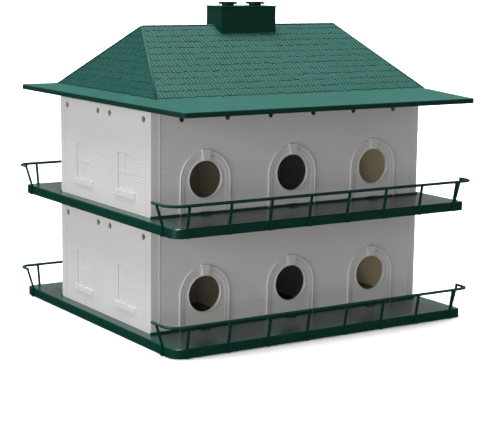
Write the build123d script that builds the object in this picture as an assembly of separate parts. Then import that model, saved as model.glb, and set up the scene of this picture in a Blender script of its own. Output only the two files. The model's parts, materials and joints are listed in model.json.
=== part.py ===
from build123d import *
import os

# Purple martin house of moulded plastic: two storeys of six rooms under a
# hip roof. Millimetres, +Z up, front towards -Y, origin at the middle of
# the bottom, where the lowest porch floor stands.

# Rooms and storeys
room_pitch = 152.4
rooms_along = 3
corner_margin = 13.4
house_depth = 292.6
storey_pitch = 170.0
top_wall_height = 160.0
wall_thickness = 2.4
partition_thickness = 2.0
slot_clearance = 0.3

# Wall relief
corner_board_width = 15.0
corner_board_relief = 0.8
window_width = 46.0
window_height = 56.0
window_bottom = 29.0
window_offset = 68.0
window_frame_width = 4.5
window_frame_relief = 0.7
window_recess = 0.9
sill_height = 8.0
sill_relief = 2.2
sill_overhang = 4.0

# Entrances
entrance_height = 50.6
entrance_radius = 27.4
inner_band_radius = 36.8
inner_band_relief = 1.3
outer_band_radius = 42.8
outer_band_relief = 2.4
keystone_top_width = 15.8
keystone_bottom_width = 11.6
keystone_foot = 25.6
keystone_rise = 17.0
keystone_relief = 3.4

# Vents near the top of each wall
vent_radius = 4.8
vent_sides = 10
vent_drop = 20.2
front_vent_offset = 38.5
side_vent_inner = 18.8
side_vent_outer = 123.4

# Porch floors
porch_reach = 96.2
side_reach = 16.5
floor_thickness = 2.5
rim_height = 14.0
rim_thickness = 2.5
rim_round_corner = 18.0
rim_tight_corner = 4.0
rim_edge_bevel = 1.2
catch_width = 14.0
catch_depth = 6.5
catch_height = 4.0
catch_bevel = 2.6
catch_gap = 0.6
pole_hole_spacing = 76.2
pole_hole_radius = 3.4

# Railings
rail_radius = 2.3
rail_height = 32.5
rail_sides = 8
rail_lean_front = 6.0
rail_lean_side = 10.0
rail_round_corner = 22.0
rail_tight_corner = 12.0
rail_overhang = 12.0
post_width = 3.2
post_depth = 3.0
post_pitch = 68.0
posts_along = 8
long_setback = 33.5
short_setback = 20.5
foot_clearance = 0.2
foot_depth = 8.0
socket_wall = 0.9

# Roof
ceiling_thickness = 2.5
roof_thickness = 2.6
eave_reach_front = 117.0
eave_reach_end = 14.5
eave_hang = 8.1
eave_edge = 6.8
eave_corner_radius = 6.0
skirt_rise = 9.4
hip_base_reach_front = 13.0
hip_base_inset_end = 2.1
hip_rise = 95.0
ridge_length = 354.4
seat_width = 8.0

# Chimney
chimney_length = 100.2
chimney_depth = 44.0
chimney_rise = 27.9
chimney_wall = 2.4
lid_thickness = 1.8
lid_overhang = 1.2
flue_pitch = 50.0
flue_neck_size = 14.0
flue_neck_height = 2.4
flue_cap_size = 22.0
flue_cap_height = 3.6
flue_cap_bevel = 1.5

# Sizes that follow
house_length = rooms_along * room_pitch + 2 * corner_margin
half_length = house_length / 2
half_depth = house_depth / 2
lower_floor = rim_height
upper_floor = lower_floor + storey_pitch
wall_height = storey_pitch - floor_thickness
wall_top = upper_floor + top_wall_height
vent_height = top_wall_height - vent_drop
bore_length = 2 * (wall_thickness + keystone_relief)
inner_half_length = half_length - corner_board_relief - wall_thickness
inner_half_depth = half_depth - corner_board_relief - wall_thickness
porch_half_length = half_length + side_reach
porch_half_depth = half_depth + porch_reach
eave_half_length = half_length + eave_reach_end
eave_half_depth = half_depth + eave_reach_front
hip_half_length = half_length - hip_base_inset_end
hip_half_depth = half_depth + hip_base_reach_front
roof_seat = wall_top + ceiling_thickness
eave_height = roof_seat - eave_hang
hip_base_height = eave_height + eave_edge + skirt_rise
ridge_height = hip_base_height + hip_rise
chimney_top = ridge_height + chimney_rise
rail_front = porch_half_depth + rail_lean_front
rail_side = porch_half_length + rail_lean_side
room_centres = [(i - (rooms_along - 1) / 2) * room_pitch for i in range(rooms_along)]
post_places = [(i - (posts_along - 1) / 2) * post_pitch for i in range(posts_along)]


def block(low, high):
    size = [b - a for a, b in zip(low, high)]
    middle = [(a + b) / 2 for a, b in zip(low, high)]
    return Pos(*middle) * Box(*size)


def turned(shape):
    return Rot(0, 0, 180) * shape


def arch_outline(radius, height):
    jambs = Pos(0, height / 2) * Rectangle(2 * radius, height)
    return jambs + Pos(0, height) * Circle(radius)


# A front wall is drawn with its inner face at Y = 0 and its outside towards -Y.
def door_surround():
    outline = arch_outline(outer_band_radius, entrance_height)
    surround = extrude(Plane.XZ * outline, wall_thickness + outer_band_relief)
    panel = Plane.XZ * arch_outline(inner_band_radius, entrance_height)
    level = Pos(0, -wall_thickness - inner_band_relief, 0)
    surround -= level * extrude(panel, outer_band_relief)
    return surround + keystone()


def keystone():
    foot = entrance_height + keystone_foot
    top = entrance_height + entrance_radius + keystone_rise
    half_top = keystone_top_width / 2
    half_foot = keystone_bottom_width / 2
    outline = Polygon(
        (-half_foot, foot), (half_foot, foot), (half_top, top), (-half_top, top), align=None
    )
    return extrude(Plane.XZ * outline, wall_thickness + keystone_relief)


# A vent is so small that ten sides are round enough for it.
def vent_hole():
    return extrude(Plane.XZ * RegularPolygon(vent_radius, vent_sides), bore_length, both=True)


def front_wall(height):
    reach = wall_thickness + corner_board_relief
    wall = block((-half_length, -wall_thickness, 0), (half_length, 0, height))
    for side in (-1, 1):
        edge = side * (half_length - corner_board_width / 2)
        wall += Pos(edge, -reach / 2, height / 2) * Box(corner_board_width, reach, height)
    surround = door_surround()
    for x in room_centres:
        wall += Pos(x, 0, 0) * surround
    bore = Rot(90, 0, 0) * Cylinder(entrance_radius, 2 * bore_length)
    vent = vent_hole()
    for x in room_centres:
        wall -= Pos(x, 0, entrance_height) * bore
        for side in (-1, 1):
            wall -= Pos(x + side * front_vent_offset, 0, vent_height) * vent
    return wall


def window(outward):
    bottom = window_bottom
    half_width = window_width / 2
    outer = outward + window_frame_relief
    frame = block(
        (-half_width - window_frame_width, -outer, bottom),
        (half_width + window_frame_width, 0, bottom + window_height + window_frame_width),
    )
    half_sill = half_width + window_frame_width + sill_overhang
    sill = block(
        (-half_sill, -outward - sill_relief, bottom - sill_height),
        (half_sill, 0, bottom),
    )
    return frame + sill


def window_pane(outward):
    half_width = window_width / 2
    return block(
        (-half_width, -outward - sill_relief, window_bottom),
        (half_width, -outward + window_recess, window_bottom + window_height),
    )


# A side wall is drawn like a front wall and then turned a quarter.
def side_wall(height):
    reach = wall_thickness + corner_board_relief
    wall = block((-inner_half_depth, -wall_thickness, 0), (inner_half_depth, 0, height))
    board = corner_board_width - reach
    for side in (-1, 1):
        edge = side * (inner_half_depth - board / 2)
        wall += Pos(edge, -reach / 2, height / 2) * Box(board, reach, height)
        wall += Pos(side * window_offset, 0, 0) * window(wall_thickness)
        wall -= Pos(side * window_offset, 0, 0) * window_pane(wall_thickness)
    vent = vent_hole()
    for place in (side_vent_inner, side_vent_outer):
        for side in (-1, 1):
            wall -= Pos(side * place, 0, vent_height) * vent
    return wall


def storey_walls(floor, height):
    front = Pos(0, -inner_half_depth, floor) * front_wall(height)
    left = Pos(-inner_half_length, 0, floor) * Rot(0, 0, -90) * side_wall(height)
    return {
        "front_wall": front,
        "back_wall": turned(front),
        "left_wall": left,
        "right_wall": turned(left),
    }


# The partitions cross by halved joints: each has a slot over half its height.
def partition_slot(height):
    width = partition_thickness + 2 * slot_clearance
    return Box(width, width, height)


def centre_partition(height):
    half = partition_thickness / 2
    board = block((-inner_half_length, -half, 0), (inner_half_length, half, height))
    for x in (-room_pitch / 2, room_pitch / 2):
        board -= Pos(x, 0, height * 3 / 4) * partition_slot(height / 2)
    return board


def cross_partition(x, height):
    half = partition_thickness / 2
    board = block((x - half, -inner_half_depth, 0), (x + half, inner_half_depth, height))
    return board - Pos(x, 0, height / 4) * partition_slot(height / 2)


def storey_partitions(floor, height):
    lift = Pos(0, 0, floor)
    return {
        "centre_partition": lift * centre_partition(height),
        "left_partition": lift * cross_partition(-room_pitch / 2, height),
        "right_partition": lift * cross_partition(room_pitch / 2, height),
    }


# A railing returns further along one side than along the other. Each foot is
# its place and the side of the porch that it stands on.
def post_feet():
    front = porch_half_depth
    side = porch_half_length
    feet = [(x, -front, 0) for x in post_places]
    return feet + [(-side, long_setback - front, -1), (side, short_setback - front, 1)]


# Sockets and posts are drawn for a foot on the front rim, and turned for a side.
def socket_body():
    half_width = post_width / 2 + foot_clearance + socket_wall
    reach = post_depth / 2 + foot_clearance + socket_wall
    return block((-half_width, -reach, -rim_height), (half_width, rim_thickness + socket_wall, 0))


def socket_pocket():
    width = post_width + 2 * foot_clearance
    depth = post_depth + 2 * foot_clearance
    return Pos(0, 0, -foot_depth / 2) * Box(width, depth, foot_depth)


def at_foot(shape, foot):
    x, y, side = foot
    return Pos(x, y, 0) * Rot(0, 0, 90 * side) * shape


# Two opposite corners of a porch are well rounded, the other two are tight.
def porch_outline(inset):
    half_x = porch_half_length - inset
    half_y = porch_half_depth - inset
    outline = Rectangle(2 * half_x, 2 * half_y)
    tight = outline.vertices().filter_by(lambda v: v.X * v.Y < 0)
    outline = fillet(tight, rim_tight_corner - inset)
    wide = outline.vertices().filter_by(lambda v: v.X * v.Y > 0)
    return fillet(wide, rim_round_corner - inset)


def porch_floor():
    tray = extrude(porch_outline(0), -rim_height)
    tray = chamfer(tray.faces().sort_by(Axis.Z)[-1].edges(), rim_edge_bevel)
    hollow = extrude(porch_outline(rim_thickness), floor_thickness - rim_height)
    tray -= Pos(0, 0, -floor_thickness) * hollow
    for foot in post_feet():
        body = at_foot(socket_body(), foot)
        pocket = at_foot(socket_pocket(), foot)
        tray = tray + body + turned(body) - pocket - turned(pocket)
    for x in room_centres:
        tab = Pos(x, -half_depth - outer_band_relief - catch_gap, 0) * door_catch()
        tray = tray + tab + turned(tab)
    return tray


def door_catch():
    body = block((-catch_width / 2, -catch_depth, -floor_thickness), (catch_width / 2, 0, catch_height))
    top_front = body.edges().filter_by(Axis.X).sort_by(Axis.Z)[-2:].sort_by(Axis.Y)[0]
    return chamfer(top_front, catch_bevel)


def pole_holes():
    offset = pole_hole_spacing / 2
    hole = Cylinder(pole_hole_radius, 4 * rim_height)
    return [Pos(x, y, 0) * hole for x in (-offset, offset) for y in (-offset, offset)]


def railing():
    long_end = long_setback + rail_overhang - porch_half_depth
    short_end = short_setback + post_width / 2 - porch_half_depth
    path = FilletPolyline(
        (-rail_side, long_end, rail_height),
        (-rail_side, -rail_front, rail_height),
        (rail_side, -rail_front, rail_height),
        (rail_side, short_end, rail_height),
        radius=(rail_round_corner, rail_tight_corner),
    )
    section = Plane(origin=path @ 0, z_dir=path % 0) * RegularPolygon(rail_radius, rail_sides)
    bar = sweep(section, path=path)
    for foot in post_feet():
        lean = rail_lean_side if foot[2] else rail_lean_front
        bar += at_foot(post(lean), foot)
    return bar


def post(lean):
    section = Rectangle(post_width, post_depth)
    peg = Pos(0, 0, -foot_depth) * extrude(section, foot_depth)
    reach = (lean**2 + rail_height**2) ** 0.5
    return peg + extrude(section, reach, dir=(0, -lean, rail_height))


def storey(name, floor, height):
    parts = {}
    parts.update(storey_walls(floor, height))
    parts.update(storey_partitions(floor, height))
    parts["porch_floor"] = Pos(0, 0, floor) * porch_floor()
    rail = Pos(0, 0, floor) * railing()
    parts["front_railing"] = rail
    parts["back_railing"] = turned(rail)
    return {name + "_" + key: shape for key, shape in parts.items()}


# A roof form is where a profile run along the ridge meets one run across it.
def roof_profile(eave, hip, ridge, shift, low):
    shoulder = hip_base_height - shift
    edge = eave_height + eave_edge - shift
    points = [(-eave, low), (eave, low), (eave, edge), (hip, shoulder), (ridge, ridge_height - shift)]
    if ridge > 0:
        points.append((-ridge, ridge_height - shift))
    points += [(-hip, shoulder), (-eave, edge)]
    return Polygon(*points, align=None)


def roof_form(inset, drop, low):
    across = roof_profile(eave_half_depth - inset, hip_half_depth - inset, 0, drop, low)
    along = roof_profile(
        eave_half_length - inset, hip_half_length - inset, ridge_length / 2, drop, low
    )
    run = 2 * max(eave_half_length, eave_half_depth)
    ridge_run = extrude(Plane.YZ * across, run, both=True)
    cross_run = extrude(Plane.XZ * along, run, both=True)
    return ridge_run & cross_run


def seat_ring(outer_form):
    ring = block((-half_length, -half_depth, roof_seat), (half_length, half_depth, ridge_height))
    ring -= block(
        (seat_width - half_length, seat_width - half_depth, roof_seat - 1),
        (half_length - seat_width, half_depth - seat_width, ridge_height + 1),
    )
    return ring & outer_form


def roof():
    outer = roof_form(0, 0, eave_height)
    corners = outer.edges().filter_by(Axis.Z)
    outer = fillet(corners, eave_corner_radius)
    inner = roof_form(roof_thickness, roof_thickness, eave_height - 1)
    return outer - inner + seat_ring(outer)


def ceiling():
    return block((-half_length, -half_depth, wall_top), (half_length, half_depth, roof_seat))


def chimney():
    half_x = chimney_length / 2
    half_y = chimney_depth / 2
    stack = block((-half_x, -half_y, hip_base_height), (half_x, half_y, chimney_top))
    flue = block(
        (chimney_wall - half_x, chimney_wall - half_y, hip_base_height),
        (half_x - chimney_wall, half_y - chimney_wall, chimney_top),
    )
    return stack - flue - roof_form(0, 0, eave_height)


def chimney_lid():
    half_x = chimney_length / 2 + lid_overhang
    half_y = chimney_depth / 2 + lid_overhang
    return block((-half_x, -half_y, chimney_top), (half_x, half_y, chimney_top + lid_thickness))


def flue_cap(side):
    base = chimney_top + lid_thickness
    cap_base = base + flue_neck_height
    neck = Pos(0, 0, base + flue_neck_height / 2) * Box(flue_neck_size, flue_neck_size, flue_neck_height)
    cap = Pos(0, 0, cap_base + flue_cap_height / 2) * Box(flue_cap_size, flue_cap_size, flue_cap_height)
    cap = chamfer(cap.edges().filter_by(Axis.Z), flue_cap_bevel)
    return Pos(side * flue_pitch / 2, 0, 0) * (neck + cap)


def martin_house():
    parts = {}
    parts.update(storey("lower", lower_floor, wall_height))
    parts.update(storey("upper", upper_floor, top_wall_height))
    for hole in pole_holes():
        parts["lower_porch_floor"] -= hole
    parts["ceiling"] = ceiling()
    parts["roof"] = roof()
    parts["chimney"] = chimney()
    parts["chimney_lid"] = chimney_lid()
    parts["left_flue_cap"] = flue_cap(-1)
    parts["right_flue_cap"] = flue_cap(1)
    return parts


os.makedirs("parts", exist_ok=True)
for name, shape in martin_house().items():
    export_step(shape, "parts/" + name + ".step")
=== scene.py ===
import bmesh
import bpy
import json
import math
from mathutils import Matrix, Vector


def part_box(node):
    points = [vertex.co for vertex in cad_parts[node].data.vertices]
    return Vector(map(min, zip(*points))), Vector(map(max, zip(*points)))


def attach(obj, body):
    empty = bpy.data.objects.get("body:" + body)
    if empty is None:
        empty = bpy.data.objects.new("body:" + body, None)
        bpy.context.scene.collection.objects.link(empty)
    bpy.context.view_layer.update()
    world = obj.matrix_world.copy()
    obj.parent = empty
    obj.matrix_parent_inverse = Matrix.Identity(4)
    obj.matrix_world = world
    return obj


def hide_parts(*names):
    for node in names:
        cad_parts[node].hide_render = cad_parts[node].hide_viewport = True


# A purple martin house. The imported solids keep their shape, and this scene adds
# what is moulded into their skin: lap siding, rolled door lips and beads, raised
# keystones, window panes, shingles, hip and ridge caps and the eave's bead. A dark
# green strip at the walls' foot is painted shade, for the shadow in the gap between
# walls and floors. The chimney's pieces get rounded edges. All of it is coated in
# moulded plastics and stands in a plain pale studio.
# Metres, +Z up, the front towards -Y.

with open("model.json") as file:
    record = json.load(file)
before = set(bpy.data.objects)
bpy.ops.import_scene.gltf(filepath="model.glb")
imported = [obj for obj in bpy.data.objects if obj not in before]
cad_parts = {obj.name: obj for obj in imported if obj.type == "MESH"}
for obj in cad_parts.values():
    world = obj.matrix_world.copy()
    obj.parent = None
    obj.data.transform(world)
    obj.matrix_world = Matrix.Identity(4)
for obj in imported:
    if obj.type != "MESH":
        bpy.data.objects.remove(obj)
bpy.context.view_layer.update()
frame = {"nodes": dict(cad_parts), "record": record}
MM = 0.001

# The walls' sizes, as the part's source has them.
WALL = 2.4 * MM
ROOM_PITCH = 152.4 * MM
DOOR_PLACES = (-ROOM_PITCH, 0.0, ROOM_PITCH)
ENTRANCE_HEIGHT = 50.6 * MM
ENTRANCE_RADIUS = 27.4 * MM
INNER_BAND_RADIUS = 36.8 * MM
INNER_BAND_RELIEF = 1.3 * MM
OUTER_BAND_RADIUS = 42.8 * MM
OUTER_BAND_RELIEF = 2.4 * MM
KEYSTONE_FOOT_HALF = 5.2 * MM
KEYSTONE_TOP_HALF = 7.6 * MM
KEYSTONE_TOP = 44.2 * MM
KEYSTONE_RELIEF = 3.4 * MM
CORNER_BOARD = 15.0 * MM
CORNER_RELIEF = 0.8 * MM
VENT_RADIUS = 4.8 * MM
VENT_HEIGHT = 139.8 * MM
FRONT_VENT_OFFSET = 38.5 * MM
SIDE_VENT_OFFSETS = (18.8 * MM, 123.4 * MM)
WINDOW_OFFSET = 68.0 * MM
WINDOW_WIDTH = 46.0 * MM
WINDOW_HEIGHT = 56.0 * MM
WINDOW_BOTTOM = 29.0 * MM
WINDOW_FRAME = 4.5 * MM
WINDOW_RECESS = 0.9 * MM
SILL_HEIGHT = 8.0 * MM
SILL_OVERHANG = 4.0 * MM

# Lap siding, and the cutters that keep it off the openings.
LAP_PITCH = 4.7 * MM
LAP_BUTTS = {"front": 1.25 * MM, "left": 0.8 * MM}
LAP_GROOVES = {"front": 1.0 * MM, "left": 0.45 * MM}
LAP_TIP = 0.5 * MM
LAP_HIDDEN = 0.8 * MM
CUTTER_REACH = 10.0 * MM
CUTTER_GAP = 0.02 * MM
ENTRANCE_SIDES = 48
VENT_SIDES = 20

# Trims of the entrances, windows and corners.
LIP_THICKNESS = 1.0 * MM
LIP_PROUD = 0.6 * MM
LIP_SPREAD = 0.6 * LIP_THICKNESS
LIP_SIDES = 72
ARCH_BEAD_WIDTH = 1.6 * MM
ARCH_BEAD_DEPTH = 2.4 * MM
ARCH_BEAD_INSET = 0.9 * MM
ARCH_FOOT = 0.2 * MM
ARCH_STEPS = 24
BEAD_SIDES = 8
KEYSTONE_GAP = 1.2 * MM
KEYSTONE_PROUD = 2.2 * MM
KEYSTONE_BEVEL = 0.35 * MM
PANE_GAP = 1.2 * MM
PANE_DEPTH = 0.2 * MM
PANE_BURIED = 0.3 * MM
PANE_BAR_HALF = 0.9 * MM
UPRIGHT_PROUD = 0.4 * MM
CROSSBAR_PROUD = 0.35 * MM
CORNER_BEAD_INSET = 1.2 * MM
CORNER_BEAD_HALF = 0.8 * MM
CORNER_BEAD_PROUD = 0.7 * MM
CORNER_BEAD_END = 0.1 * MM
# The dark strip at the walls' foot: painted shade for the gap between walls and floor.
FOOT_SHADOW_STRIP_HEIGHT = 2.8 * MM
FOOT_SHADOW_STRIP_PROUD = 3.2 * MM
FOOT_SHADOW_STRIP_OVERHANG = 0.8 * MM
FOOT_SHADOW_STRIP_BURIED = 0.3 * MM

# The roof's sizes, as the part's source has them.
HIP_BASE_HALF_LENGTH = 239.9 * MM
HIP_BASE_HALF_DEPTH = 159.3 * MM
HIP_BASE_HEIGHT = 354.6 * MM
RIDGE_HALF_LENGTH = 177.2 * MM
RIDGE_HEIGHT = 449.6 * MM
EAVE_TOP = 345.2 * MM
EAVE_CORNER = 6.0 * MM

# The roof's shakes, caps and bead. A shake's half length is a share of its
# course's pitch. The seeds are for the shakes' random places and scales.
COURSE_PITCH = 15.5 * MM
END_COURSE_PITCH = 10.0 * MM
LONG_SLOPE_SEED = 3
END_SLOPE_SEED = 8
SHAKE_WIDTH = 6.2 * MM
SHAKE_JOINT = 1.3 * MM
SHAKE_BUTT = 1.0 * MM
SHAKE_TIP = 0.65 * MM
SHAKE_BURIED = 0.5 * MM
SHAKE_WAVER = 3.2 * MM
SHAKE_HALF_LENGTH = 0.51
SHAKE_LEAST = (0.85, 0.9, 0.75)
SHAKE_MOST = (1.05, 1.0, 1.15)
ROOF_MARGIN = 3.0 * MM
ROOF_FOOT_MARGIN = 0.6 * MM
CAP_WIDTH = 3.6 * MM
CAP_THICKNESS = 2.4 * MM
STRIP_SIDES = 12
BEAD_RADIUS = 0.9 * MM
EAVE_CORNER_STEPS = 6
# The height over which the drip edge's painted shade blends into the roof's green.
DRIP_EDGE_SHADE_BLEND = 0.3 * MM

# The chimney's moulded edges.
CHIMNEY_SOFTENING = 0.5 * MM
CHIMNEY_MERGE = 0.005 * MM
FLAT_ANGLE = math.radians(1)
SHARP_ANGLE = math.radians(30)

# The plastics. Noise runs mostly between the two ends of its span.
ABS_IOR = 1.53
POLYPROPYLENE_IOR = 1.49
DULL_SPECULAR = 0.2
COLOUR_DRIFT = 60 * MM
NOISE_SPAN = {"From Min": 0.3, "From Max": 0.7}

# The camera, solved from the edges that show in the photograph: its place in
# metres, its yaw, pitch and roll in degrees, and its sensor and lens in mm.
CAMERA_PLACE = (-1.24106, -1.94899, 0.54075)
CAMERA_ANGLES = (-32.920, -9.773, 0.690)
CAMERA_SENSOR = 36
CAMERA_LENS = 105.47
CAMERA_NEAR = 0.05
CAMERA_FAR = 200

# The lights, in metres and watts. The overhead light is a wide, soft sun. The
# glow in the rooms has a power for each place along the house.
OVERHEAD_POWER = 8.0
OVERHEAD_SPREAD = math.radians(32)
OVERHEAD_LEAN = math.radians(-6)
LEFT_SOFTBOX = {"at": (-3.0, -0.8, 0.6), "aim": (-0.2, 0, 0.2), "size": (1.8, 1.4), "power": 44}
FRONT_SOFTBOX = {"at": (0.6, -3.0, 0.3), "aim": (0.1, 0, 0.2), "size": (2.4, 0.5), "power": 5}
BACK_SOFTBOX = {"at": (2.0, 2.6, 1.0), "aim": (0.1, 0.1, 0.25), "size": (2.0, 1.6), "power": 26}
COOL_WHITE = (0.98, 0.98, 1.0)
WARM_WHITE = (1.0, 0.99, 0.97, 1)
GLOW_COLOUR = (1.0, 0.8, 0.46)
GLOW_PLACES = {-0.228: 0.032, 0.086: 0.11}
GLOW_SIDE = 0.07
GLOW_HEIGHT = 0.045
GLOW_SPREAD = math.radians(62)
GLOW_BLEND = 0.8
GLOW_RADIUS = 0.01
FLOOR_HALF = 40.0
FLOOR_DROP = 0.3 * MM


def linear(hex_colour):
    """An sRGB hex colour as a linear RGBA."""
    channels = [int(hex_colour[i : i + 2], 16) / 255 for i in (1, 3, 5)]
    lit = [c / 12.92 if c <= 0.04045 else ((c + 0.055) / 1.055) ** 2.4 for c in channels]
    return lit + [1.0]


def add(tree, kind, settings=(), links=()):
    """A node of a kind, with its settings, and with a value or a link for each named socket."""
    node = tree.nodes.new(kind)
    for key, value in dict(settings).items():
        setattr(node, key, value)
    for socket, value in dict(links).items():
        if isinstance(value, bpy.types.NodeSocket):
            tree.links.new(value, node.inputs[socket])
        else:
            node.inputs[socket].default_value = value
    return node


# Coats.


def moulded(name, colour, shade, grain_mm, grain_depth_mm, mottle=0.5):
    """A moulded plastic: its colour drifts a little towards a second shade, over a moulded grain.

    A real grain is a few tenths of a millimetre wide, too fine to show, so each
    one is drawn as coarse as it needs to be to soften the highlights.
    """
    finish = bpy.data.materials.new(name)
    finish.use_nodes = True
    tree = finish.node_tree
    shader = tree.nodes["Principled BSDF"]
    place = add(tree, "ShaderNodeTexCoord").outputs["Object"]
    cloudy = {"Vector": place, "Scale": 1 / COLOUR_DRIFT, "Detail": 3.0}
    drift = add(tree, "ShaderNodeTexNoise", {}, cloudy).outputs["Fac"]
    towards = {"Value": drift, **NOISE_SPAN, "To Min": 0.0, "To Max": mottle}
    spread = add(tree, "ShaderNodeMapRange", {}, towards)
    hues = {"Factor": spread.outputs["Result"], 6: linear(colour), 7: linear(shade)}
    mixed = add(tree, "ShaderNodeMix", {"data_type": "RGBA"}, hues)
    tree.links.new(mixed.outputs[2], shader.inputs["Base Color"])
    grainy = {"Vector": place, "Scale": 1 / (grain_mm * MM), "Detail": 2.0}
    skin = add(tree, "ShaderNodeTexNoise", {}, grainy).outputs["Fac"]
    depth = {"Height": skin, "Strength": 0.5, "Distance": grain_depth_mm * MM}
    bump = add(tree, "ShaderNodeBump", {}, depth)
    tree.links.new(bump.outputs["Normal"], shader.inputs["Normal"])
    return finish, tree, shader, skin


def uneven_gloss(tree, shader, skin, low, high):
    """Lets the roughness run between two values with the moulded grain."""
    towards = {"Value": skin, **NOISE_SPAN, "To Min": low, "To Max": high}
    gloss = add(tree, "ShaderNodeMapRange", {}, towards)
    tree.links.new(gloss.outputs["Result"], shader.inputs["Roughness"])


def white_abs():
    # Injection-moulded white ABS, as in cabinet panels: an even, slightly warm
    # white with a satin skin that softens every edge's highlight.
    finish, tree, shader, skin = moulded("moulded_white_abs", "#e9e8e6", "#e2e1df", 1.2, 0.012)
    uneven_gloss(tree, shader, skin, 0.38, 0.46)
    shader.inputs["IOR"].default_value = ABS_IOR
    return finish


def porch_polypropylene():
    # Moulded polypropylene in dark green, from a polished tool: glossy, so that
    # the rails and the floors' edges catch the light.
    name = "moulded_dark_green_polypropylene"
    finish, tree, shader, skin = moulded(name, "#033d33", "#04372e", 3.0, 0.006)
    uneven_gloss(tree, shader, skin, 0.22, 0.28)
    shader.inputs["IOR"].default_value = POLYPROPYLENE_IOR
    return finish


def roof_polypropylene():
    # The same plastic from a spark-eroded tool: matte, and the sun has faded it,
    # so the roof reads as a softer and lighter green than the porches. The drip
    # edge under the bead is painted dark green: painted shade for this upright band, which lies in
    # shade.
    name = "moulded_matte_green_polypropylene"
    finish, tree, shader, skin = moulded(name, "#15463e", "#1a4b44", 1.5, 0.04, mottle=0.9)
    uneven_gloss(tree, shader, skin, 0.56, 0.66)
    faded_green = shader.inputs["Base Color"].links[0].from_socket
    place = add(tree, "ShaderNodeTexCoord").outputs["Object"]
    height = add(tree, "ShaderNodeSeparateXYZ", {}, {"Vector": place}).outputs["Z"]
    # Below the bead the colour turns dark green: painted shade on the drip edge.
    span = {"From Min": EAVE_TOP - BEAD_RADIUS, "From Max": EAVE_TOP - DRIP_EDGE_SHADE_BLEND}
    above = add(tree, "ShaderNodeMapRange", {}, {"Value": height, **span}).outputs["Result"]
    hues = {"Factor": above, 6: linear("#02352b"), 7: faded_green}
    mixed = add(tree, "ShaderNodeMix", {"data_type": "RGBA"}, hues)
    tree.links.new(mixed.outputs[2], shader.inputs["Base Color"])
    shader.inputs["IOR"].default_value = POLYPROPYLENE_IOR
    shader.inputs["Specular IOR Level"].default_value = DULL_SPECULAR
    return finish


def chimney_polypropylene():
    # The porches' moulded plastic with a satin skin: it stays nearly black-green.
    name = "moulded_blackish_green_polypropylene"
    finish, tree, shader, skin = moulded(name, "#023a30", "#02332a", 2.0, 0.02)
    uneven_gloss(tree, shader, skin, 0.34, 0.44)
    shader.inputs["IOR"].default_value = POLYPROPYLENE_IOR
    shader.inputs["Specular IOR Level"].default_value = DULL_SPECULAR
    return finish


# Making pieces.


def linked(name, data):
    """A new object in the scene."""
    made = bpy.data.objects.new(name, data)
    bpy.context.collection.objects.link(made)
    return made


def meshed(name, points, faces):
    mesh = bpy.data.meshes.new(name)
    mesh.from_pydata(points, [], faces)
    return mesh


def open_tree(name, sockets):
    """An empty geometry tree with named inputs, and those inputs' sockets."""
    tree = bpy.data.node_groups.new(name, "GeometryNodeTree")
    tree.is_modifier = True
    for label, kind in sockets.items():
        tree.interface.new_socket(label, in_out="INPUT", socket_type="NodeSocket" + kind)
    tree.interface.new_socket("Geometry", in_out="OUTPUT", socket_type="NodeSocketGeometry")
    return tree, add(tree, "NodeGroupInput").outputs


def close_tree(tree, geometry, finish):
    real = add(tree, "GeometryNodeRealizeInstances", {}, {"Geometry": geometry})
    coat = {"Geometry": real.outputs[0], "Material": finish}
    coated = add(tree, "GeometryNodeSetMaterial", {}, coat)
    add(tree, "NodeGroupOutput", {"is_active_output": True}, {"Geometry": coated.outputs[0]})


def grown(name, tree, sizes, matrices, finish, edges=()):
    """A plain mesh grown from a tree, trimmed, copied to each place, riding on the house."""
    maker = linked(name, bpy.data.meshes.new(name))
    modifier = maker.modifiers.new("growth", "NODES")
    modifier.node_group = tree
    for item in tree.interface.items_tree:
        if item.in_out == "INPUT" and item.name in sizes:
            modifier[item.identifier] = sizes[item.name]
    depsgraph = bpy.context.evaluated_depsgraph_get()
    plain = bpy.data.meshes.new_from_object(maker.evaluated_get(depsgraph))
    maker.modifiers.clear()
    if edges:
        trimmed(plain, edges)
    maker.data = gathered(name, [(plain, matrix) for matrix in matrices], finish)
    return settled(maker)


def gathered(name, parts, finish):
    """One mesh of several, each moved by its matrix."""
    points, faces = [], []
    for mesh, matrix in parts:
        start = len(points)
        points += [matrix @ v.co for v in mesh.vertices]
        faces += [[start + i for i in p.vertices] for p in mesh.polygons]
    joined = meshed(name, points, faces)
    joined.materials.append(finish)
    joined.update()
    return joined


def settled(piece):
    """Every piece rides on the house's one body."""
    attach(piece, "root")
    return piece


def smoothed(piece):
    for face in piece.data.polygons:
        face.use_smooth = True


def shaped(name, points, faces, finish):
    mesh = meshed(name, points, faces)
    mesh.materials.append(finish)
    return settled(linked(name, mesh))


BLOCK_FACES = [
    (0, 3, 2, 1), (4, 5, 6, 7), (0, 1, 5, 4), (1, 2, 6, 5), (2, 3, 7, 6), (3, 0, 4, 7),
]


def bar(low, high):
    """The corners of an upright box: its lower four, then its upper four."""
    (x0, y0, z0), (x1, y1, z1) = low, high
    ring = [(x0, y0), (x1, y0), (x1, y1), (x0, y1)]
    return [(x, y, z0) for x, y in ring] + [(x, y, z1) for x, y in ring]


def add_block(points, faces, corners):
    """Adds a closed block of eight corners to a mesh in the making."""
    start = len(points)
    points += corners
    faces += [[start + i for i in face] for face in BLOCK_FACES]


def bars(name, boxes, matrices, finish):
    points, faces = [], []
    for matrix in matrices:
        for low, high in boxes:
            add_block(points, faces, [matrix @ Vector(p) for p in bar(low, high)])
    return shaped(name, points, faces, finish)


# Lap siding.


def wedge(name, half_length, low_y, high_y, tip_y, half_height):
    """A board with a thick lower edge and a thin upper one, drawn round the origin."""
    low = (-half_length, low_y, -half_height)
    high = (half_length, high_y, half_height)
    points = [(x, tip_y if y == low_y and z > 0 else y, z) for x, y, z in bar(low, high)]
    return linked(name, meshed(name, points, BLOCK_FACES))


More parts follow.
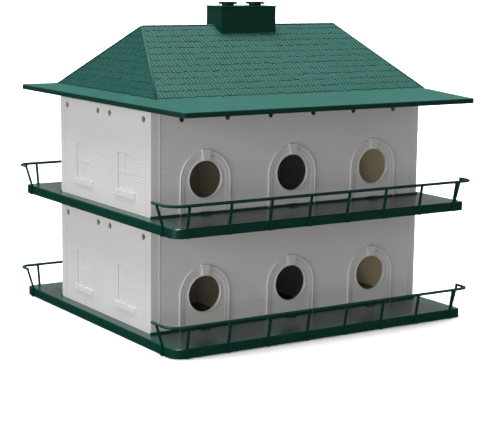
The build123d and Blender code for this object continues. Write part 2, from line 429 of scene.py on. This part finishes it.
def siding_tree():
    """Lap boards up a wall that faces -Y, with its openings cut away."""
    inputs = {
        "boards": "Int",
        "first": "Vector",
        "lap pitch": "Vector",
        "board": "Object",
        "openings": "Object",
        "finish": "Material",
    }
    tree, size = open_tree("lap_siding", inputs)
    up = {"Count": size["boards"], "Start Location": size["first"], "Offset": size["lap pitch"]}
    courses = add(tree, "GeometryNodeMeshLine", {"mode": "OFFSET"}, up)
    board = add(tree, "GeometryNodeObjectInfo", {}, {"Object": size["board"]})
    laid = {"Points": courses.outputs[0], "Instance": board.outputs["Geometry"]}
    boards = add(tree, "GeometryNodeInstanceOnPoints", {}, laid)
    laps = add(tree, "GeometryNodeRealizeInstances", {}, {"Geometry": boards.outputs[0]})
    holes = add(tree, "GeometryNodeObjectInfo", {}, {"Object": size["openings"]})
    both = {"Mesh 1": laps.outputs[0], "Mesh 2": holes.outputs["Geometry"]}
    how = {"operation": "DIFFERENCE", "solver": "EXACT"}
    cut = add(tree, "GeometryNodeMeshBoolean", how, both)
    close_tree(tree, cut.outputs[0], size["finish"])
    return tree


def punch(name, rounds, squares):
    """Closed cutters for a wall's openings: round (x, z, radius) and square (low, high)."""
    points, faces = [], []
    for x, z, radius in rounds:
        sides = ENTRANCE_SIDES if radius > ENTRANCE_RADIUS else VENT_SIDES
        start = len(points)
        for y in (-CUTTER_REACH, CUTTER_REACH):
            for i in range(sides):
                turn = 2 * math.pi * i / sides
                points.append((x + radius * math.cos(turn), y, z + radius * math.sin(turn)))
        near = list(range(start, start + sides))
        far = list(range(start + sides, start + 2 * sides))
        faces += [near, far[::-1]]
        for i in range(sides):
            j = (i + 1) % sides
            faces.append((near[i], far[i], far[j], near[j]))
    for (x0, z0), (x1, z1) in squares:
        add_block(points, faces, bar((x0, -CUTTER_REACH, z0), (x1, CUTTER_REACH, z1)))
    return linked(name, meshed(name, points, faces))


def wall_places(storey, side):
    """Matrices that carry what is drawn for a wall facing -Y to that wall and its turned twin."""
    low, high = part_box(f"{storey}_{side}_wall")
    if side == "front":
        first = Matrix.Translation((0, high[1] - WALL, low[2]))
    else:
        facing_left = Matrix.Rotation(-math.pi / 2, 4, "Z")
        first = Matrix.Translation((high[0] - WALL, 0, low[2])) @ facing_left
    return [first, Matrix.Rotation(math.pi, 4, "Z") @ first]


def sided(name, storey, side, length, openings, white):
    """The boards of one kind of wall and its turned twin."""
    low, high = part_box(f"{storey}_{side}_wall")
    half_height = (LAP_PITCH - LAP_GROOVES[side]) / 2
    board = wedge("lap_board", length / 2, -LAP_BUTTS[side], LAP_HIDDEN, -LAP_TIP, half_height)
    tree = bpy.data.node_groups.get("lap_siding") or siding_tree()
    sizes = {
        "boards": int((high[2] - low[2]) / LAP_PITCH),
        "first": (0, 0, LAP_PITCH / 2),
        "lap pitch": (0, 0, LAP_PITCH),
        "board": board,
        "openings": openings,
        "finish": white,
    }
    grown(name, tree, sizes, wall_places(storey, side), white)
    bpy.data.objects.remove(board)
    bpy.data.objects.remove(openings)


def front_siding(storey, white):
    rounds = [(x, ENTRANCE_HEIGHT, ENTRANCE_RADIUS + LIP_THICKNESS) for x in DOOR_PLACES]
    for x in DOOR_PLACES:
        rounds += [(x + s * FRONT_VENT_OFFSET, VENT_HEIGHT, VENT_RADIUS) for s in (-1, 1)]
    openings = punch("front_openings", rounds, [])
    low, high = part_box(f"{storey}_front_wall")
    length = high[0] - low[0] - 2 * CORNER_BOARD
    sided(f"{storey}_front_and_back_siding", storey, "front", length, openings, white)


def side_siding(storey, white):
    rounds = [(s * y, VENT_HEIGHT, VENT_RADIUS) for y in SIDE_VENT_OFFSETS for s in (-1, 1)]
    half = WINDOW_WIDTH / 2 + WINDOW_FRAME
    head = WINDOW_BOTTOM + WINDOW_HEIGHT + WINDOW_FRAME
    window = (half, WINDOW_BOTTOM + CUTTER_GAP, head)
    sill = (half + SILL_OVERHANG, WINDOW_BOTTOM - SILL_HEIGHT, WINDOW_BOTTOM - CUTTER_GAP)
    squares = []
    for reach, foot, head in (window, sill):
        for s in (-1, 1):
            x = s * WINDOW_OFFSET
            squares.append(((x - reach, foot), (x + reach, head)))
    openings = punch("side_openings", rounds, squares)
    low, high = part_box(f"{storey}_left_wall")
    length = high[1] - low[1] - 2 * (CORNER_BOARD - WALL)
    sided(f"{storey}_side_siding", storey, "left", length, openings, white)


# Entrances.


def lip_tree():
    """Rolled rings round a row of entrances on a wall that faces -Y."""
    inputs = {"mean radius": "Float", "thickness": "Float", "first": "Vector", "pitch": "Vector"}
    tree, size = open_tree("entrance_lips", {**inputs, "finish": "Material"})
    circle = "GeometryNodeCurvePrimitiveCircle"
    ring = add(tree, circle, {}, {"Resolution": LIP_SIDES, "Radius": size["mean radius"]})
    section = add(tree, circle, {}, {"Resolution": STRIP_SIDES, "Radius": size["thickness"]})
    round_it = {"Curve": ring.outputs[0], "Profile Curve": section.outputs[0]}
    rolled = add(tree, "GeometryNodeCurveToMesh", {}, round_it)
    stand = {"Geometry": rolled.outputs[0], "Rotation": (math.pi / 2, 0, 0)}
    upright = add(tree, "GeometryNodeTransform", {}, stand)
    door_by_door(tree, size, upright.outputs[0])
    return tree


def door_by_door(tree, size, shape):
    """Ends a tree with a shape at each door of a row."""
    doors = {"Count": len(DOOR_PLACES), "Start Location": size["first"], "Offset": size["pitch"]}
    along = add(tree, "GeometryNodeMeshLine", {"mode": "OFFSET"}, doors)
    at_each = {"Points": along.outputs[0], "Instance": shape}
    row = add(tree, "GeometryNodeInstanceOnPoints", {}, at_each)
    close_tree(tree, row.outputs[0], size["finish"])


def entrance_lips(storey, white):
    sizes = {
        "mean radius": ENTRANCE_RADIUS + LIP_SPREAD,
        "thickness": LIP_THICKNESS,
        "first": (-ROOM_PITCH, 0, ENTRANCE_HEIGHT),
        "pitch": (ROOM_PITCH, 0, 0),
        "finish": white,
    }
    tree = bpy.data.node_groups.get("entrance_lips") or lip_tree()
    forward = Matrix.Translation((0, -INNER_BAND_RELIEF - LIP_PROUD, 0))
    places = [place @ forward for place in wall_places(storey, "front")]
    smoothed(grown(f"{storey}_entrance_lips", tree, sizes, places, white))


def swept_bead(tree, size, curve, sides):
    """A bead along a curve: a circle one metre across, scaled to the section's size."""
    unit = {"Resolution": sides, "Radius": 0.5}
    circle = add(tree, "GeometryNodeCurvePrimitiveCircle", {}, unit)
    scaled = {"Geometry": circle.outputs[0], "Scale": size["section"]}
    flat = add(tree, "GeometryNodeTransform", {}, scaled)
    swept = {"Curve": curve, "Profile Curve": flat.outputs[0], "Fill Caps": True}
    return add(tree, "GeometryNodeCurveToMesh", {}, swept).outputs[0]


def arch_tree():
    """Half-sunk beads along the arched bands of a row of doors on a wall that faces -Y."""
    inputs = {"arch": "Object", "section": "Vector", "first": "Vector", "pitch": "Vector"}
    tree, size = open_tree("arch_beads", {**inputs, "finish": "Material"})
    arch = add(tree, "GeometryNodeObjectInfo", {}, {"Object": size["arch"]})
    bead = swept_bead(tree, size, arch.outputs["Geometry"], BEAD_SIDES)
    door_by_door(tree, size, bead)
    return tree


def arch_beads(storey, label, radius, relief, white):
    """The rolled edge of one band: up one jamb, over the arch and down the other."""
    turns = [math.pi * i / ARCH_STEPS for i in range(ARCH_STEPS + 1)]
    points = [(radius, 0, ARCH_FOOT)]
    points += [(radius * math.cos(t), 0, ENTRANCE_HEIGHT + radius * math.sin(t)) for t in turns]
    points += [(-radius, 0, ARCH_FOOT)]
    arch = path_of("arch", points, False)
    tree = bpy.data.node_groups.get("arch_beads") or arch_tree()
    sizes = {
        "arch": arch,
        "section": (ARCH_BEAD_WIDTH, ARCH_BEAD_DEPTH, 1.0),
        "first": (-ROOM_PITCH, -relief, 0),
        "pitch": (ROOM_PITCH, 0, 0),
        "finish": white,
    }
    places = wall_places(storey, "front")
    smoothed(grown(f"{storey}_{label}_beads", tree, sizes, places, white))
    bpy.data.objects.remove(arch)


def keystone_faces(storey, white):
    """A raised wedge on each keystone, with bevelled flanks that catch the side light."""
    foot = ENTRANCE_HEIGHT + ENTRANCE_RADIUS + KEYSTONE_GAP
    top = ENTRANCE_HEIGHT + KEYSTONE_TOP
    near, far = -KEYSTONE_RELIEF - KEYSTONE_PROUD, -INNER_BAND_RELIEF
    points, faces = [], []
    for place in wall_places(storey, "front"):
        for door in DOOR_PLACES:
            corners = []
            for y, inset in ((far, 0.0), (near, KEYSTONE_BEVEL)):
                low_half, high_half = KEYSTONE_FOOT_HALF - inset, KEYSTONE_TOP_HALF - inset
                ring = [(-low_half, foot + inset), (low_half, foot + inset)]
                ring += [(high_half, top - inset), (-high_half, top - inset)]
                corners += [place @ Vector((door + x, y, z)) for x, z in ring]
            add_block(points, faces, corners)
    shaped(f"{storey}_keystone_faces", points, faces, white)


def window_panes(storey, white):
    """Blind panes that nearly fill the windows' recesses, with a bar down and one across."""
    foot, head = WINDOW_BOTTOM + PANE_GAP, WINDOW_BOTTOM + WINDOW_HEIGHT - PANE_GAP
    middle = WINDOW_BOTTOM + WINDOW_HEIGHT / 2
    half, bar_half, bar_back = WINDOW_WIDTH / 2 - PANE_GAP, PANE_BAR_HALF, PANE_BURIED
    boxes = []
    for x in (-WINDOW_OFFSET, WINDOW_OFFSET):
        pane_back = WINDOW_RECESS + PANE_BURIED
        pane = (x - half, PANE_DEPTH, foot), (x + half, pane_back, head)
        upright = (x - bar_half, -UPRIGHT_PROUD, foot), (x + bar_half, bar_back, head)
        low, high = middle - bar_half, middle + bar_half
        crossbar = (x - half, -CROSSBAR_PROUD, low), (x + half, bar_back, high)
        boxes += [pane, upright, crossbar]
    places = wall_places(storey, "left")
    bars(f"{storey}_window_panes", boxes, places, white)


def corner_beads(storey, white):
    """A slim bead down the inner edge of each corner board."""
    low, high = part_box(f"{storey}_front_wall")
    foot, top = CORNER_BEAD_END, high[2] - low[2] - CORNER_BEAD_END
    near = -CORNER_RELIEF - CORNER_BEAD_PROUD
    boxes = []
    for s in (-1, 1):
        x = s * (high[0] - CORNER_BOARD + CORNER_BEAD_INSET)
        boxes.append(((x - CORNER_BEAD_HALF, near, foot), (x + CORNER_BEAD_HALF, 0, top)))
    places = wall_places(storey, "front")
    bars(f"{storey}_front_corner_beads", boxes, places, white)


# The roof.


def shake_tree():
    """Courses of narrow shakes on a slope: x along the eave, y up the slope, z off it."""
    inputs = {
        "courses": "Int",
        "first course": "Vector",
        "course pitch": "Vector",
        "shakes": "Int",
        "first shake": "Vector",
        "shake pitch": "Vector",
        "stagger": "Vector",
        "waver": "Vector",
        "shake": "Object",
        "seed": "Int",
        "finish": "Material",
    }
    tree, size = open_tree("shake_courses", inputs)
    line, by_steps = "GeometryNodeMeshLine", {"mode": "OFFSET"}
    chance, vector = "FunctionNodeRandomValue", {"data_type": "FLOAT_VECTOR"}
    up = {"Start Location": size["first course"], "Offset": size["course pitch"]}
    rise = add(tree, line, by_steps, {"Count": size["courses"], **up})
    shift = add(tree, chance, vector, {"Max": size["stagger"], "Seed": size["seed"]})
    pushed = {"Geometry": rise.outputs[0], "Offset": shift.outputs[0]}
    staggered = add(tree, "GeometryNodeSetPosition", {}, pushed)
    along = {"Start Location": size["first shake"], "Offset": size["shake pitch"]}
    row = add(tree, line, by_steps, {"Count": size["shakes"], **along})
    rows = {"Points": staggered.outputs[0], "Instance": row.outputs[0]}
    courses = add(tree, "GeometryNodeInstanceOnPoints", {}, rows)
    spots = add(tree, "GeometryNodeRealizeInstances", {}, {"Geometry": courses.outputs[0]})
    sway = add(tree, chance, vector, {"Max": size["waver"], "Seed": size["seed"]})
    swayed = {"Geometry": spots.outputs[0], "Offset": sway.outputs[0]}
    laid = add(tree, "GeometryNodeSetPosition", {}, swayed)
    uneven = {"Min": SHAKE_LEAST, "Max": SHAKE_MOST, "Seed": size["seed"]}
    thick = add(tree, chance, vector, uneven)
    shake = add(tree, "GeometryNodeObjectInfo", {}, {"Object": size["shake"]})
    placed = {"Points": laid.outputs[0], "Instance": shake.outputs["Geometry"]}
    placed["Scale"] = thick.outputs[0]
    shakes = add(tree, "GeometryNodeInstanceOnPoints", {}, placed)
    close_tree(tree, shakes.outputs[0], size["finish"])
    return tree


def slope_place(base_reach, ridge_reach, turn):
    """A slope's matrix, and its length. It faces -Y before it is turned about the middle."""
    run = base_reach - ridge_reach
    rise = RIDGE_HEIGHT - HIP_BASE_HEIGHT
    length = math.hypot(run, rise)
    up = Vector((0, run / length, rise / length))
    along = Vector((1, 0, 0))
    off = along.cross(up)
    place = Matrix((along, up, off)).transposed().to_4x4()
    place.translation = Vector((0, -base_reach, HIP_BASE_HEIGHT))
    return Matrix.Rotation(turn, 4, "Z") @ place, length


def slope_edges(half_below, half_above, length):
    """The planes that bound a slope's shakes: its two hips, its foot and its head."""
    lean = (half_below - half_above) / length
    edges = []
    for side in (-1, 1):
        outward = Vector((side, lean, 0)).normalized()
        edges.append((Vector((side * half_below, 0, 0)) - outward * ROOF_MARGIN, outward))
    edges.append((Vector((0, ROOF_FOOT_MARGIN, 0)), Vector((0, -1, 0))))
    edges.append((Vector((0, length - ROOF_MARGIN, 0)), Vector((0, 1, 0))))
    return edges


def trimmed(mesh, edges):
    """Takes off what lies beyond each plane, and closes the cuts."""
    work = bmesh.new()
    work.from_mesh(mesh)
    for point, outward in edges:
        everything = work.verts[:] + work.edges[:] + work.faces[:]
        plane = {"plane_co": point, "plane_no": outward}
        cut = bmesh.ops.bisect_plane(work, geom=everything, clear_outer=True, **plane)
        rims = [item for item in cut["geom_cut"] if isinstance(item, bmesh.types.BMEdge)]
        bmesh.ops.edgenet_fill(work, edges=rims)
    bmesh.ops.recalc_face_normals(work, faces=work.faces)
    work.to_mesh(mesh)
    work.free()


def shake_blank(pitch):
    """One shake, thick at its lower edge, lying on the slope."""
    half_width, half_length = (SHAKE_WIDTH - SHAKE_JOINT) / 2, pitch * SHAKE_HALF_LENGTH
    corners = bar((-half_width, -half_length, -SHAKE_BURIED), (half_width, half_length, SHAKE_BUTT))
    points = [(x, y, SHAKE_TIP if z > 0 and y > 0 else z) for x, y, z in corners]
    return linked("shake", meshed("shake", points, BLOCK_FACES))


def shingled(name, tree, place, slope, half_below, half_above, pitch, seed, green):
    """One slope and its turned twin in shakes."""
    courses = round(slope / pitch)
    pitch = slope / courses
    blank = shake_blank(pitch)
    sizes = {
        "courses": courses,
        "first course": (0, pitch / 2, 0),
        "course pitch": (0, pitch, 0),
        "shakes": math.ceil(2 * half_below / SHAKE_WIDTH) + 2,
        "first shake": (-half_below - SHAKE_WIDTH, 0, 0),
        "shake pitch": (SHAKE_WIDTH, 0, 0),
        "stagger": (SHAKE_WIDTH, 0, 0),
        "waver": (0, SHAKE_WAVER, 0),
        "shake": blank,
        "seed": seed,
        "finish": green,
    }
    places = [place, Matrix.Rotation(math.pi, 4, "Z") @ place]
    edges = slope_edges(half_below, half_above, slope)
    grown(name, tree, sizes, places, green, edges)
    bpy.data.objects.remove(blank)


def shingles(green):
    tree = shake_tree()
    length, ridge, depth = HIP_BASE_HALF_LENGTH, RIDGE_HALF_LENGTH, HIP_BASE_HALF_DEPTH
    place, slope = slope_place(depth, 0.0, 0.0)
    courses = (COURSE_PITCH, LONG_SLOPE_SEED, green)
    shingled("long_slope_shingles", tree, place, slope, length, ridge, *courses)
    place, slope = slope_place(length, ridge, -math.pi / 2)
    courses = (END_COURSE_PITCH, END_SLOPE_SEED, green)
    shingled("end_slope_shingles", tree, place, slope, depth, 0.0, *courses)


def strip_tree():
    """A flattened round strip that follows a path."""
    inputs = {"path": "Object", "section": "Vector", "finish": "Material"}
    tree, size = open_tree("roof_strip", inputs)
    path = add(tree, "GeometryNodeObjectInfo", {}, {"Object": size["path"]}).outputs["Geometry"]
    upright = add(tree, "GeometryNodeSetCurveNormal", {"mode": "Z_UP"}, {"Curve": path})
    close_tree(tree, swept_bead(tree, size, upright.outputs[0], STRIP_SIDES), size["finish"])
    return tree


def path_of(name, points, closed):
    curve = bpy.data.curves.new(name, "CURVE")
    curve.dimensions = "3D"
    line = curve.splines.new("POLY")
    line.points.add(len(points) - 1)
    for point, (x, y, z) in zip(line.points, points):
        point.co = (x, y, z, 1)
    line.use_cyclic_u = closed
    return linked(name, curve)


def strip(name, points, closed, section, green):
    tree = bpy.data.node_groups.get("roof_strip") or strip_tree()
    path = path_of(name + "_path", points, closed)
    sizes = {"path": path, "section": section, "finish": green}
    smoothed(grown(name, tree, sizes, [Matrix.Identity(4)], green))
    bpy.data.objects.remove(path)


def roof_caps(green):
    """Narrow caps over the ridge and the four hips."""
    section = (CAP_WIDTH, CAP_THICKNESS, 1.0)
    ends = {"right": RIDGE_HALF_LENGTH, "left": -RIDGE_HALF_LENGTH}
    strip("ridge_cap", [(x, 0, RIDGE_HEIGHT) for x in ends.values()], False, section, green)
    for end, ridge_x in ends.items():
        for side, reach in (("front", -HIP_BASE_HALF_DEPTH), ("back", HIP_BASE_HALF_DEPTH)):
            foot = (math.copysign(HIP_BASE_HALF_LENGTH, ridge_x), reach, HIP_BASE_HEIGHT)
            top = (ridge_x, 0, RIDGE_HEIGHT)
            strip(f"{end}_{side}_hip_cap", [foot, top], False, section, green)


def eave_bead(green):
    """A rolled bead along the eave's upper edge, which draws the bright line there."""
    low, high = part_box("roof")
    corner, step = EAVE_CORNER - BEAD_RADIUS, math.pi / 2 / EAVE_CORNER_STEPS
    points = []
    for quarter, (sx, sy) in enumerate(((1, 1), (-1, 1), (-1, -1), (1, -1))):
        x, y = sx * (high[0] - EAVE_CORNER), sy * (high[1] - EAVE_CORNER)
        for i in range(EAVE_CORNER_STEPS + 1):
            turn = quarter * math.pi / 2 + i * step
            points.append((x + corner * math.cos(turn), y + corner * math.sin(turn), EAVE_TOP))
    strip("eave_bead", points, True, (2 * BEAD_RADIUS, 2 * BEAD_RADIUS, 1.0), green)


# Painted shade: a dark strip at the walls' foot.


def foot_shadow_strips(storey, green):
    """A strip of the porches' dark green plastic at the walls' foot: painted shade, which stands
    for the shadow in the gap between walls and floor.
    """
    low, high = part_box(f"{storey}_front_wall")
    half_x = high[0] + FOOT_SHADOW_STRIP_OVERHANG
    near = high[1] - WALL - FOOT_SHADOW_STRIP_PROUD
    far = near + FOOT_SHADOW_STRIP_PROUD + FOOT_SHADOW_STRIP_BURIED
    boxes = [((-half_x, near, low[2]), (half_x, far, low[2] + FOOT_SHADOW_STRIP_HEIGHT))]
    places = [Matrix.Identity(4), Matrix.Rotation(math.pi, 4, "Z")]
    bars(f"{storey}_foot_ribs", boxes, places, green)


# The chimney.


def softened(node, width, finish):
    """A copy of a solid with its moulded edges rounded, which takes its place."""
    mesh = frame["nodes"][node].data.copy()
    work = bmesh.new()
    work.from_mesh(mesh)
    bmesh.ops.remove_doubles(work, verts=work.verts, dist=CHIMNEY_MERGE)
    bmesh.ops.dissolve_limit(work, angle_limit=FLAT_ANGLE, verts=work.verts, edges=work.edges)
    folds = [edge for edge in work.edges if edge.is_manifold]
    sharp = [edge for edge in folds if edge.calc_face_angle(0) > SHARP_ANGLE]
    how = {"segments": 2, "profile": 0.5, "affect": "EDGES", "clamp_overlap": True}
    bmesh.ops.bevel(work, geom=sharp, offset=width, **how)
    work.to_mesh(mesh)
    work.free()
    mesh.materials.clear()
    mesh.materials.append(finish)
    piece = linked("moulded_" + node, mesh)
    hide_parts(node)
    return settled(piece)


# The studio.


def camera():
    """The photograph's own viewpoint."""
    data = bpy.data.cameras.new("camera")
    seer = linked("camera", data)
    yaw, pitch, roll = (math.radians(angle) for angle in CAMERA_ANGLES)
    level = math.cos(pitch)
    ahead = Vector((math.sin(-yaw) * level, math.cos(yaw) * level, math.sin(pitch)))
    flat_right = ahead.cross(Vector((0, 0, 1))).normalized()
    flat_up = flat_right.cross(ahead)
    right = math.cos(roll) * flat_right + math.sin(roll) * flat_up
    up = math.cos(roll) * flat_up - math.sin(roll) * flat_right
    place = Matrix((right, up, -ahead)).transposed().to_4x4()
    place.translation = Vector(CAMERA_PLACE)
    seer.matrix_world = place
    data.sensor_width = CAMERA_SENSOR
    data.lens = CAMERA_LENS
    data.clip_start = CAMERA_NEAR
    data.clip_end = CAMERA_FAR
    bpy.context.scene.camera = seer


def lamp(name, at, aim, size, power, colour=(1, 1, 1)):
    """A softbox at a place, aimed at a point."""
    data = bpy.data.lights.new(name, "AREA")
    data.shape = "RECTANGLE"
    data.size, data.size_y = size
    data.energy = power
    data.color = colour
    light = linked(name, data)
    light.location = at
    light.rotation_euler = (Vector(aim) - Vector(at)).to_track_quat("-Z", "Y").to_euler()
    return light


def room_light(world):
    """Light from all round, brighter from below. What is glossy mirrors a bright band over
    the horizon, and next to nothing below it."""
    tree = world.node_tree
    sky = tree.nodes["Background"]
    ahead = add(tree, "ShaderNodeTexCoord").outputs["Generated"]
    height = add(tree, "ShaderNodeSeparateXYZ", {}, {"Vector": ahead}).outputs["Z"]
    span = {"From Min": -0.3, "From Max": 0.3, "To Min": 0.40, "To Max": 0.26}
    fill = add(tree, "ShaderNodeMapRange", {}, {"Value": height, **span}).outputs["Result"]
    span = {"From Min": -0.03, "From Max": 0.03, "To Min": 0.03, "To Max": 0.5}
    low_part = add(tree, "ShaderNodeMapRange", {}, {"Value": height, **span}).outputs["Result"]
    span = {"From Min": 0.2, "From Max": 0.45, "To Min": low_part, "To Max": 0.1}
    mirrored = add(tree, "ShaderNodeMapRange", {}, {"Value": height, **span}).outputs["Result"]
    glossy = add(tree, "ShaderNodeLightPath").outputs["Is Glossy Ray"]
    both = {"Factor": glossy, "A": fill, "B": mirrored}
    strength = add(tree, "ShaderNodeMix", {"data_type": "FLOAT"}, both)
    tree.links.new(strength.outputs["Result"], sky.inputs["Strength"])
    sky.inputs["Color"].default_value = WARM_WHITE


def room_glow():
    """Daylight that seeps through the thin walls: faint warm spots in the left and right rooms."""
    for storey in ("lower", "upper"):
        low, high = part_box(f"{storey}_front_wall")
        for x, power in GLOW_PLACES.items():
            for side in (-1, 1):
                data = bpy.data.lights.new("room_glow", "SPOT")
                data.energy = power
                data.color = GLOW_COLOUR
                data.spot_size = GLOW_SPREAD
                data.spot_blend = GLOW_BLEND
                data.shadow_soft_size = GLOW_RADIUS
                light = linked("room_glow", data)
                light.location = (x, side * GLOW_SIDE, low[2] + GLOW_HEIGHT)
                light.rotation_euler = (0, -math.pi / 2, 0)
                light.visible_camera = False


def pale_floor():
    paper = bpy.data.materials.new("pale_paper")
    paper.use_nodes = True
    shader = paper.node_tree.nodes["Principled BSDF"]
    shader.inputs["Base Color"].default_value = linear("#eeeeee")
    shader.inputs["Roughness"].default_value = 0.9
    half, z = FLOOR_HALF, -FLOOR_DROP
    corners = [(-half, -half, z), (half, -half, z), (half, half, z), (-half, half, z)]
    mesh = meshed("floor", corners, [(0, 1, 2, 3)])
    mesh.materials.append(paper)
    floor = linked("floor", mesh)
    floor.visible_diffuse = False
    floor.visible_glossy = False


def studio():
    """A white room: soft light from straight above and from the left, and weaker fills."""
    bpy.context.scene.view_settings.view_transform = "Standard"
    world = bpy.data.worlds.new("studio")
    bpy.context.scene.world = world
    world.use_nodes = True
    room_light(world)
    room_glow()
    above = bpy.data.lights.new("overhead_light", "SUN")
    above.energy = OVERHEAD_POWER
    above.angle = OVERHEAD_SPREAD
    linked("overhead_light", above).rotation_euler = (OVERHEAD_LEAN, 0, 0)
    lamp("left_softbox", colour=COOL_WHITE, **LEFT_SOFTBOX)
    lamp("front_softbox", **FRONT_SOFTBOX).visible_glossy = False
    lamp("back_softbox", **BACK_SOFTBOX).visible_glossy = False
    pale_floor()


def coat_solids(finishes):
    """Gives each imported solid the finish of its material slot."""
    for part in frame["record"]["subparts"]:
        solid = frame["nodes"][part["node"]]
        solid.data.materials.clear()
        solid.data.materials.append(finishes[part["material_slot"]])


white = white_abs()
porch_green = porch_polypropylene()
roof_green = roof_polypropylene()
chimney_green = chimney_polypropylene()
coat_solids(
    {
        "white_plastic": white,
        "porch_green_plastic": porch_green,
        "roof_green_plastic": roof_green,
        "chimney_green_plastic": chimney_green,
    }
)
outer, inner = OUTER_BAND_RADIUS - ARCH_BEAD_INSET, INNER_BAND_RADIUS - ARCH_BEAD_INSET
for storey in ("lower", "upper"):
    front_siding(storey, white)
    side_siding(storey, white)
    entrance_lips(storey, white)
    arch_beads(storey, "outer_band", outer, OUTER_BAND_RELIEF, white)
    arch_beads(storey, "inner_band", inner, INNER_BAND_RELIEF, white)
    keystone_faces(storey, white)
    window_panes(storey, white)
    corner_beads(storey, white)
    foot_shadow_strips(storey, porch_green)
for node in ("chimney", "chimney_lid", "left_flue_cap", "right_flue_cap"):
    softened(node, CHIMNEY_SOFTENING, chimney_green)
shingles(roof_green)
roof_caps(roof_green)
eave_bead(roof_green)
camera()
studio()
